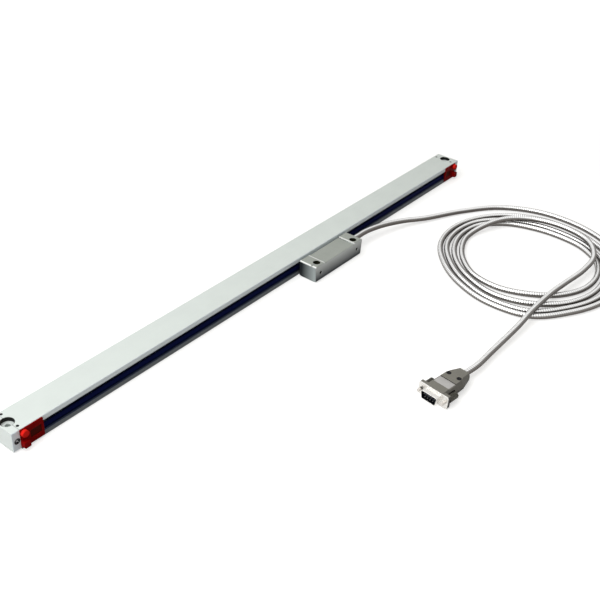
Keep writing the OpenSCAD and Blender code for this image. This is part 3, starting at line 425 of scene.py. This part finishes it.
# Painted shade in the holes, from above and from the front
for side in (-1, 1):
    x = head_middle + side * HOLE_SPACING / 2
    from_above = ((x - HOLE_HALF, HOLE_Y - HOLE_HALF, head_low.z + HOLE_FOOT),
                  (x + HOLE_HALF, HOLE_Y + HOLE_HALF, head_high.z - HOLE_RIM))
    from_front = ((x - FRONT_HOLE_HALF, head_low.y + FRONT_HOLE_RIM,
                   FRONT_HOLE_Z - FRONT_HOLE_HALF),
                  (x + FRONT_HOLE_HALF, head_low.y + FRONT_HOLE_DEPTH,
                   FRONT_HOLE_Z + FRONT_HOLE_HALF))
    for low, high in (from_above, from_front):
        shaded = blend_colour(tree, inside(tree, low, high), shaded, HOLE_SHADE)
tree.links.new(shaded, shader.inputs["Base Color"])
dress(lacquered_casting, "head_body")

cover_sheet, *_ = finish("cover_sheet", ((0.56, 0.57, 0.57), (0.46, 0.47, 0.47)), (0.35, 0.5),
                         0.7, 1600, stretch=(0.1, 1, 1), relief=0.1)
dress(cover_sheet, "head_cover")
zinc_plate, *_ = finish("zinc_plate", ((0.42, 0.43, 0.44), (0.30, 0.31, 0.33)), (0.3, 0.45), 0.8,
                        2500, relief=0.15, bright=(0.7, 0.7, 0.7), wear=0.5, radius=0.0002)
dress(zinc_plate, "cover_screws", "board_screws")


# ---- Blade and spring ----
# The blade that passes between the lips is ground steel, and so is the bowed leaf that couples
# it to the carriage. Grinding leaves short lines across the length.
ground_steel, *_ = finish("ground_steel", ((0.62, 0.63, 0.65), (0.48, 0.49, 0.51)), (0.2, 0.35),
                          1.0, 3000, stretch=(1, 0.05, 1), relief=0.12)
dress(ground_steel, "blade", "coupling_spring")
dress(black_oxide, "blade_screws")


# ---- Carriage and optics ----
# The carriage is moulded from black, fibre-filled plastic. It carries a red lamp, a lens, the
# index grating and the sensor board, and runs on shielded bearings with ground axles.
fibre_plastic, *_ = finish("fibre_plastic", ((0.020, 0.020, 0.022), (0.045, 0.045, 0.048)),
                           (0.5, 0.65), 0.0, 1400, stretch=(0.2, 1, 1), relief=0.3,
                           bright=(0.09, 0.09, 0.09), gloss=0.35)
dress(fibre_plastic, "carriage")
polished_steel, *_ = finish("polished_steel", ((0.66, 0.67, 0.69), (0.55, 0.56, 0.58)),
                            (0.1, 0.2), 1.0, 2600, relief=0.04)
dress(polished_steel, "face_axles", "edge_axles", "face_roller_left", "face_roller_right",
      "edge_roller_left", "edge_roller_right")
for name, tint, roughness, node in (("lamp_resin", (0.62, 0.06, 0.05), 0.12, "lamp"),
                                    ("lens_glass", (0.85, 0.93, 0.96), 0.03, "condenser_lens"),
                                    ("grating_glass", (0.60, 0.72, 0.76), 0.04, "index_grating")):
    clear, shader = new_material(name, tint, roughness)
    shader.inputs["Transmission Weight"].default_value = 0.8
    tree = clear.node_tree
    haze = put(tree, "Group", node_tree=surface_grain)
    haze.inputs["Scale"].default_value = 900
    haze.inputs["Stretch"].default_value = (1, 1, 1)
    tree.links.new(blend_colour(tree, haze.outputs["Cloud"], tint,
                                [0.85 * channel for channel in tint]), shader.inputs["Base Color"])
    dress(clear, node)

# Green boards: copper tracks run under the solder mask, in straight lines and square corners
solder_mask, shader = new_material("solder_mask", (0.02, 0.16, 0.06), 0.3)
tree = solder_mask.node_tree
tracks = put(tree, "TexBrick", {"Vector": put(tree, "TexCoord").outputs["Object"], "Scale": 500,
                                "Mortar Size": 0.06, "Color1": (0.012, 0.13, 0.05, 1),
                                "Color2": (0.016, 0.15, 0.06, 1), "Mortar": (0.04, 0.27, 0.11, 1)})
tree.links.new(tracks.outputs["Color"], shader.inputs["Base Color"])
raised = put(tree, "Bump", {"Strength": 0.2, "Distance": 0.0001, "Height": tracks.outputs["Fac"]})
tree.links.new(raised.outputs["Normal"], shader.inputs["Normal"])
dress(solder_mask, "sensor_board", "head_board")


# ---- Cable gland ----
# A turned brass bush with bright nickel plate, which grips the armour in the end of the head.
nickel_plate, *_ = finish("nickel_plate", ((0.80, 0.775, 0.73), (0.68, 0.66, 0.62)), (0.2, 0.32),
                          0.85, 1500, relief=0.06, bright=(0.95, 0.94, 0.90), wear=0.6,
                          radius=0.0004)
dress(nickel_plate, "cable_gland")


# ---- Connector ----
# Two halves of a grey plastic hood, moulded with a fine grain, close on the metal flange of a
# nine-pin plug with a dark blue insert. Black screws hold them together over a nickelled clamp
# on the cable, and a blank plate lies in the recess of the upper half.
HOOD_GREY = ((0.225, 0.218, 0.192), (0.285, 0.278, 0.248))
HOOD_SIDE_SHADE = (0.048, 0.045, 0.041)
PLATE_GREY = ((0.49, 0.48, 0.47), (0.57, 0.56, 0.55))
KNOB_OLIVE = ((0.045, 0.043, 0.033), (0.070, 0.067, 0.052))
THREAD_NICKEL = (0.80, 0.76, 0.72)
SHELL_NICKEL = ((0.80, 0.785, 0.755), (0.70, 0.685, 0.66))
SHELL_INSIDE_SHADE = (0.018, 0.020, 0.028)
PLATE_X = (0.0100, 0.0193)
PLATE_HALF = 0.0080
PLATE_T = 0.0004
PLATE_CORNER = 0.0006
PLATE_ROUNDING = 0.00012
RECESS_DEPTH = 0.0008
THREAD_LENGTH = 0.006
PLUG_ORIGIN = Vector((-0.060, -0.222, 0.00655))
CONNECTOR_TURN = math.radians(-7)
COLLAR_FROM = -0.0002
COLLAR_FACING = -0.0005

grained_hood, tree, shader, _, worn = finish(
    "grained_hood", HOOD_GREY, (0.42, 0.55), 0.1, 1800, relief=0.3, bright=(0.45, 0.44, 0.40),
    wear=0.35, radius=0.0006, gloss=0.15)
# Painted shade on the steeper sides of the hood
slope = put(tree, "SeparateXYZ", {0: put(tree, "TexCoord").outputs["Normal"]}).outputs[2]
on_shaded_side = put(tree, "MapRange", {"Value": slope, "From Min": 0.75, "From Max": 0.2})
tree.links.new(blend_colour(tree, on_shaded_side.outputs["Result"], worn, HOOD_SIDE_SHADE),
               shader.inputs["Base Color"])
dress(grained_hood, "hood_top", "hood_bottom")
dress(nickel_plate, "cable_clamp")
dress(black_oxide, "hood_screws")
knurled_knob, tree, shader, _, worn = finish(
    "knurled_knob", KNOB_OLIVE, (0.35, 0.5), 0.3, 1500, relief=0.15, bright=(0.5, 0.48, 0.42),
    wear=0.5, radius=0.0003, gloss=0.3)
thread_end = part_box("jackscrew_front")[0].x + THREAD_LENGTH
on_thread = inside(tree, (None, None, None), (thread_end, None, None))
tree.links.new(blend_colour(tree, on_thread, worn, THREAD_NICKEL), shader.inputs["Base Color"])
dress(knurled_knob, "jackscrew_front", "jackscrew_back")
insert_plastic, *_ = finish("insert_plastic", ((0.055, 0.064, 0.090), (0.080, 0.092, 0.125)),
                            (0.25, 0.4), 0.0, 1200, relief=0.08, bright=(0.05, 0.06, 0.12),
                            gloss=0.4)
dress(insert_plastic, "connector_insert")
# The gilt pins are painted dark grey, as painted shade inside the shell
gold_pins_painted_shade, *_ = finish("gold_pins_painted_shade", ((0.13, 0.125, 0.115), (0.10, 0.095, 0.09)), (0.3, 0.4),
                        0.9, 2000, relief=0.05, bright=(0.25, 0.24, 0.21), radius=0.0001)
dress(gold_pins_painted_shade, "connector_pins")

# The drawn shell is bright nickel outside, and painted near-black within its collar as painted
# shade
plug_axis = Vector((math.cos(CONNECTOR_TURN), math.sin(CONNECTOR_TURN), 0))
drawn_shell, tree, shader, _, worn = finish(
    "drawn_shell", SHELL_NICKEL, (0.22, 0.34), 0.7, 1500, relief=0.06, bright=(0.93, 0.92, 0.88),
    wear=0.6, radius=0.0004)
coords = put(tree, "TexCoord")
reach_in = put(tree, "VectorMath", {0: coords.outputs["Object"], 1: PLUG_ORIGIN},
               operation="SUBTRACT").outputs["Vector"]
tests = []
for direction, limit in ((plug_axis, COLLAR_FROM), (coords.outputs["Normal"], COLLAR_FACING)):
    amount = put(tree, "VectorMath", {0: reach_in, 1: direction}, operation="DOT_PRODUCT")
    tests.append(put(tree, "Math", {0: amount.outputs["Value"], 1: limit},
                     operation="LESS_THAN"))
in_collar_shade = put(tree, "Math", {0: tests[0].outputs[0], 1: tests[1].outputs[0]},
                operation="MULTIPLY")
tree.links.new(blend_colour(tree, in_collar_shade.outputs[0], worn, SHELL_INSIDE_SHADE),
               shader.inputs["Base Color"])
dress(drawn_shell, "connector_shell")

# The blank plate: a thin sheet with rounded corners, let into the hood
bpy.ops.mesh.primitive_cube_add(size=1)
label_plate = bpy.context.object
label_plate.name = "label_plate"
label_plate.scale = (PLATE_X[1] - PLATE_X[0], 2 * PLATE_HALF, PLATE_T)
bpy.ops.object.transform_apply(scale=True)
bpy.ops.object.mode_set(mode="EDIT")
bpy.ops.mesh.select_mode(type="EDGE")
bpy.ops.mesh.select_all(action="DESELECT")
bpy.ops.object.mode_set(mode="OBJECT")
for edge in label_plate.data.edges:
    a, b = (label_plate.data.vertices[v].co for v in edge.vertices)
    edge.select = abs(a.z - b.z) > PLATE_T / 2
bpy.ops.object.mode_set(mode="EDIT")
bpy.ops.mesh.bevel(offset=PLATE_CORNER, segments=4)
bpy.ops.object.mode_set(mode="OBJECT")
rounding = label_plate.modifiers.new("rounding", "BEVEL")
rounding.width = PLATE_ROUNDING
rounding.segments = 2
bpy.ops.object.modifier_apply(modifier="rounding")
middle = PLUG_ORIGIN + plug_axis * sum(PLATE_X) / 2
recess_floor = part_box("hood_top")[1].z - RECESS_DEPTH
label_plate.location = (middle.x, middle.y, recess_floor + PLATE_T / 2)
label_plate.rotation_euler = (0, 0, CONNECTOR_TURN)
bpy.ops.object.transform_apply(location=True, rotation=True)
bpy.ops.object.shade_smooth_by_angle(angle=math.radians(40))
satin_plate, *_ = finish("satin_plate", PLATE_GREY, (0.4, 0.55), 0.3, 1500,
                         stretch=(0.2, 1, 1), relief=0.08, wear=0.3)
label_plate.data.materials.append(satin_plate)
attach(label_plate, "reader_head")
bpy.ops.object.select_all(action="DESELECT")


# ---- Signal cable ----
# Three strands of wire in a jacket, inside armour wound from one stainless strip. Each turn of
# the strip has a rounded crown and locks under the next, so the tube shows a fine helical seam.
# The gland grips one end and the hood's clamp the other, with loose turns lying between them.
CABLE_D = 0.006
ARMOUR_PITCH = 0.0024
ARMOUR_PROFILE = [(0.0, 0.92), (0.18, 0.98), (0.5, 1.0), (0.82, 0.98)]
CABLE_SIDES = 14
ARMOUR_PAINTED_SHADE = (0.062, 0.050, 0.044)
ARMOUR_MIDDLE = ((0.27, 0.258, 0.245), (0.23, 0.219, 0.207))
ARMOUR_PAINTED_HIGHLIGHT = (0.97, 0.97, 0.96)
SEAM_PAINTED_SHADE = (0.12, 0.115, 0.11)
SEAM_FALL = 1.5
PAINTED_LIGHT_FROM = np.array((-0.62, 0.15, 0.77))
PAINTED_SHADE_FADE = (0.12, 0.78)
PAINTED_HIGHLIGHT_FADE = (0.76, 0.91)
SEAM_SHARE = (1.15, 0.8)
FLOOR_REST = 0.003
LINE_STEPS = 16
CHORD_HALF = 0.001
GLAND_RIM = 0.0015
CABLE_IN_GLAND = 0.004
STRAIGHT_LEAD = 0.011
HOOD_REAR = 0.0435
BEHIND_HOOD = (0.02, 0.001)
CABLE_STOP = 0.0328
COIL_CENTRE = Vector((0.205, -0.172, 0))
COIL_STEP = math.radians(24)

# The way from the head to the floor, the turns by their radius and height at each step,
# clockwise from the side of the housing, and the way over them to the plug
CABLE_LEAD = [Vector((0.124, -0.025, 0.012)), Vector((0.148, -0.029, 0.0105)),
              Vector((0.176, -0.037, 0.0075))]
COIL_RADII = [0.122,
              0.111, 0.111, 0.110, 0.107, 0.105, 0.103, 0.101, 0.101, 0.103, 0.110, 0.103,
              0.094, 0.089, 0.089,
              0.089, 0.090, 0.092, 0.093, 0.092, 0.092, 0.093, 0.093, 0.094, 0.096, 0.102,
              0.096, 0.087, 0.082, 0.082,
              0.082, 0.083, 0.081, 0.078, 0.077, 0.080, 0.083, 0.084, 0.086, 0.088, 0.088,
              0.086, 0.079, 0.075, 0.074,
              0.075, 0.076, 0.073, 0.069, 0.069, 0.073, 0.076, 0.076, 0.075, 0.073, 0.071,
              0.072, 0.071, 0.067, 0.066,
              0.068, 0.068, 0.073, 0.078, 0.080, 0.080, 0.072]
COIL_HEIGHTS = [0.0045] + [0.0031] * 60 + [0.0075] + [0.0098] * 5
CABLE_TAIL = [Vector((0.216, -0.233, 0.0085)), Vector((0.180, -0.230, 0.009)),
              Vector((0.150, -0.228, 0.0098)), Vector((0.110, -0.228, 0.0098)),
              Vector((0.078, -0.229, 0.0075)), Vector((0.030, -0.229, 0.006))]

gland_low, gland_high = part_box("cable_gland")
gland_y = (gland_low.y + gland_high.y) / 2
gland_z = (gland_low.z + gland_high.z) / 2
head_end = gland_high.x - GLAND_RIM
cable_exit = Vector((head_end - CABLE_IN_GLAND, gland_y, gland_z))
route = [cable_exit, Vector((head_end + STRAIGHT_LEAD, gland_y, gland_z))] + CABLE_LEAD
for i, (radius, height) in enumerate(zip(COIL_RADII, COIL_HEIGHTS)):
    out = Vector((math.sin(COIL_STEP * i), math.cos(COIL_STEP * i), 0)) * radius
    route.append(COIL_CENTRE + out + Vector((0, 0, height)))
route += CABLE_TAIL
route += [PLUG_ORIGIN + plug_axis * (HOOD_REAR + gap) for gap in BEHIND_HOOD]
route.append(PLUG_ORIGIN + plug_axis * CABLE_STOP)


def smooth_line(points, steps):
    """A Catmull-Rom curve through the points, with that many steps from each to the next."""
    p = np.array([points[0]] + [list(q) for q in points] + [points[-1]])
    t = np.linspace(0, 1, steps, endpoint=False)[:, None]
    line = [0.5 * (2 * b + (c - a) * t + (2 * a - 5 * b + 4 * c - d) * t ** 2
                   + (3 * b - a - 3 * c + d) * t ** 3)
            for a, b, c, d in zip(p, p[1:], p[2:], p[3:])]
    return np.vstack(line + [p[-1:]])


def along_line(line, reach, places):
    """The line's points at the given distances from its start."""
    return np.stack([np.interp(places, reach, line[:, k]) for k in range(3)], axis=-1)


centre_line = smooth_line(route, LINE_STEPS)
centre_line[:, 2] = np.maximum(centre_line[:, 2], FLOOR_REST)
reach = np.concatenate([[0], np.cumsum(np.linalg.norm(np.diff(centre_line, axis=0), axis=1))])
cable_length = float(reach[-1])

# One row of points per step of the strip's profile; each row climbs one pitch round the tube
turns = int(cable_length / ARMOUR_PITCH) - 2
profile_at = np.array([at for at, _ in ARMOUR_PROFILE])
row_at = (np.arange(turns)[:, None] + profile_at).ravel() * ARMOUR_PITCH
row_radius = np.tile([r for _, r in ARMOUR_PROFILE], turns) * CABLE_D / 2
angle = np.arange(CABLE_SIDES) * 2 * math.pi / CABLE_SIDES
place = row_at[:, None] + ARMOUR_PITCH * np.arange(CABLE_SIDES) / CABLE_SIDES
spot = along_line(centre_line, reach, place)
run = (along_line(centre_line, reach, place + CHORD_HALF)
       - along_line(centre_line, reach, place - CHORD_HALF))
run /= np.linalg.norm(run, axis=-1, keepdims=True)
across = np.cross([0, 0, 1], run)
across /= np.linalg.norm(across, axis=-1, keepdims=True)
over = np.cross(run, across)
radial = across * np.cos(angle)[:, None] + over * np.sin(angle)[:, None]
spot = spot + row_radius[:, None, None] * radial
per_turn = len(ARMOUR_PROFILE)
last_row = len(row_at) - per_turn - 1

armour_points = spot.reshape(-1, 3).tolist()
armour_faces = []
for row in range(last_row):
    for side in range(CABLE_SIDES):
        here = row * CABLE_SIDES + side
        beside = here + 1 if side < CABLE_SIDES - 1 else (row + per_turn) * CABLE_SIDES
        armour_faces.append((here, here + CABLE_SIDES, beside + CABLE_SIDES, beside))

# A fan of faces closes each end, where the gland or the clamp hides it
for first, middle, far in ((0, centre_line[0], False), (last_row, centre_line[-1], True)):
    rim = [first * CABLE_SIDES + side for side in range(CABLE_SIDES)]
    rim += [(first + k) * CABLE_SIDES for k in range(per_turn, 0, -1)]
    hub = len(armour_points)
    armour_points.append(middle.tolist())
    for a, b in zip(rim, rim[1:] + rim[:1]):
        armour_faces.append((a, hub, b) if far else (a, b, hub))
armour_mesh = bpy.data.meshes.new("armoured_cable")
armour_mesh.from_pydata(armour_points, [], armour_faces)
armoured_cable = bpy.data.objects.new("armoured_cable", armour_mesh)
bpy.context.collection.objects.link(armoured_cable)
armour_mesh.polygons.foreach_set("use_smooth", [True] * len(armour_mesh.polygons))

# The steel's tone is painted from two values of each point: its depth in the seam, which darkens
# it as painted shade, and how far it is turned towards a fixed light direction, which sets a
# painted highlight and painted shade across the tube, whatever way the tube runs there
square_on = np.sqrt(1 - (run @ PAINTED_LIGHT_FROM) ** 2)
painted_light_here = (radial @ PAINTED_LIGHT_FROM) / square_on
deepest = ARMOUR_PROFILE[0][1]
profile_depth = [((1 - r) / (1 - deepest)) ** SEAM_FALL for _, r in ARMOUR_PROFILE]
depth = np.repeat(profile_depth * turns, CABLE_SIDES)
for label, values in (("seam", depth), ("painted_light", painted_light_here.ravel())):
    layer = armour_mesh.attributes.new(label, "FLOAT", "POINT")
    layer.data.foreach_set("value", np.append(values, [0, 0]))

armour_steel, tree, shader, ground, _ = finish(
    "armour_steel", ARMOUR_MIDDLE, (0.22, 0.34), 1.0, 1500, relief=0.04, wear=0.0)
# Painted shade and painted highlight across the tube, then painted shade in the seam
painted_light = put(tree, "Attribute", attribute_name="painted_light").outputs["Fac"]
painted_shade_lift = put(tree, "MapRange", {"Value": painted_light, "From Min": PAINTED_SHADE_FADE[0],
                              "From Max": PAINTED_SHADE_FADE[1]})
painted_glint = put(tree, "MapRange", {"Value": painted_light, "From Min": PAINTED_HIGHLIGHT_FADE[0],
                               "From Max": PAINTED_HIGHLIGHT_FADE[1]})
ground = blend_colour(tree, painted_shade_lift.outputs["Result"], ARMOUR_PAINTED_SHADE, ground)
ground = blend_colour(tree, painted_glint.outputs["Result"], ground, ARMOUR_PAINTED_HIGHLIGHT)
in_seam = put(tree, "Attribute", attribute_name="seam").outputs["Fac"]
lit = put(tree, "MapRange", {"Value": painted_glint.outputs["Result"], "To Min": SEAM_SHARE[0],
                             "To Max": SEAM_SHARE[1]})
shut = put(tree, "Math", {0: in_seam, 1: lit.outputs["Result"]}, operation="MULTIPLY")
tree.links.new(blend_colour(tree, shut.outputs[0], ground, SEAM_PAINTED_SHADE),
               shader.inputs["Base Color"])
armour_mesh.materials.append(armour_steel)
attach(armoured_cable, "reader_head")
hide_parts("signal_cable")


# ---- Studio ----
# A pale floor that fades to a white backdrop, a broad soft lamp overhead and a weaker one from
# the left. The floor glows a little where it is seen; rays that only carry light between
# surfaces meet a darker floor and sky, so undersides stay in shade.
FLOOR_SHOWN = (0.78, 0.78, 0.78)
FLOOR_BOUNCE = (0.32, 0.32, 0.32)
FLOOR_GLOW = (0.58, 1.0)
GLOW_REACH = (0.5, 1.6)
SKY_SHOWN = (1, 1, 1)
SKY_BOUNCE = (0.28, 0.27, 0.245)


def shown_ray(tree):
    """1 for rays that show the background: straight, mirrored or through glass."""
    path = put(tree, "LightPath")
    share = path.outputs["Is Camera Ray"]
    for kind in ("Is Glossy Ray", "Is Transmission Ray"):
        either = put(tree, "Math", {0: share, 1: path.outputs[kind]}, operation="MAXIMUM")
        share = either.outputs[0]
    return share


bpy.ops.mesh.primitive_plane_add(size=8, location=(0, 0, 0))
floor = bpy.context.object
floor.name = "floor"
floor_paint, shader = new_material("floor_paint", FLOOR_SHOWN, 0.9)
tree = floor_paint.node_tree
shown = shown_ray(tree)
tree.links.new(blend_colour(tree, shown, FLOOR_BOUNCE, FLOOR_SHOWN), shader.inputs["Base Color"])
away = put(tree, "VectorMath", {0: put(tree, "TexCoord").outputs["Object"]}, operation="LENGTH")
fade = put(tree, "MapRange", {"Value": away.outputs["Value"], "From Min": GLOW_REACH[0],
                              "From Max": GLOW_REACH[1], "To Min": FLOOR_GLOW[0],
                              "To Max": FLOOR_GLOW[1]})
glow = put(tree, "Math", {0: shown, 1: fade.outputs["Result"]}, operation="MULTIPLY")
tree.links.new(glow.outputs[0], shader.inputs["Emission Strength"])
shader.inputs["Emission Color"].default_value = (1, 1, 1, 1)
floor.data.materials.append(floor_paint)

world = bpy.data.worlds.new("studio")
bpy.context.scene.world = world
world.use_nodes = True
tree = world.node_tree
tree.links.new(blend_colour(tree, shown_ray(tree), SKY_BOUNCE, SKY_SHOWN),
               tree.nodes["Background"].inputs["Color"])


def soft_lamp(name, place, aim, size, power):
    bpy.ops.object.light_add(type="AREA", location=place)
    lamp = bpy.context.object
    lamp.name = name
    lamp.data.size = size
    lamp.data.energy = power
    lamp.rotation_euler = (Vector(aim) - Vector(place)).to_track_quat("-Z", "Y").to_euler()


soft_lamp("overhead_lamp", (-0.55, 0.15, 1.05), (-0.25, -0.05, 0), 1.1, 9.3)
soft_lamp("left_lamp", (-1.60, -0.15, 0.50), (-0.3, 0, 0), 0.8, 7)
bpy.context.scene.view_settings.view_transform = "Standard"
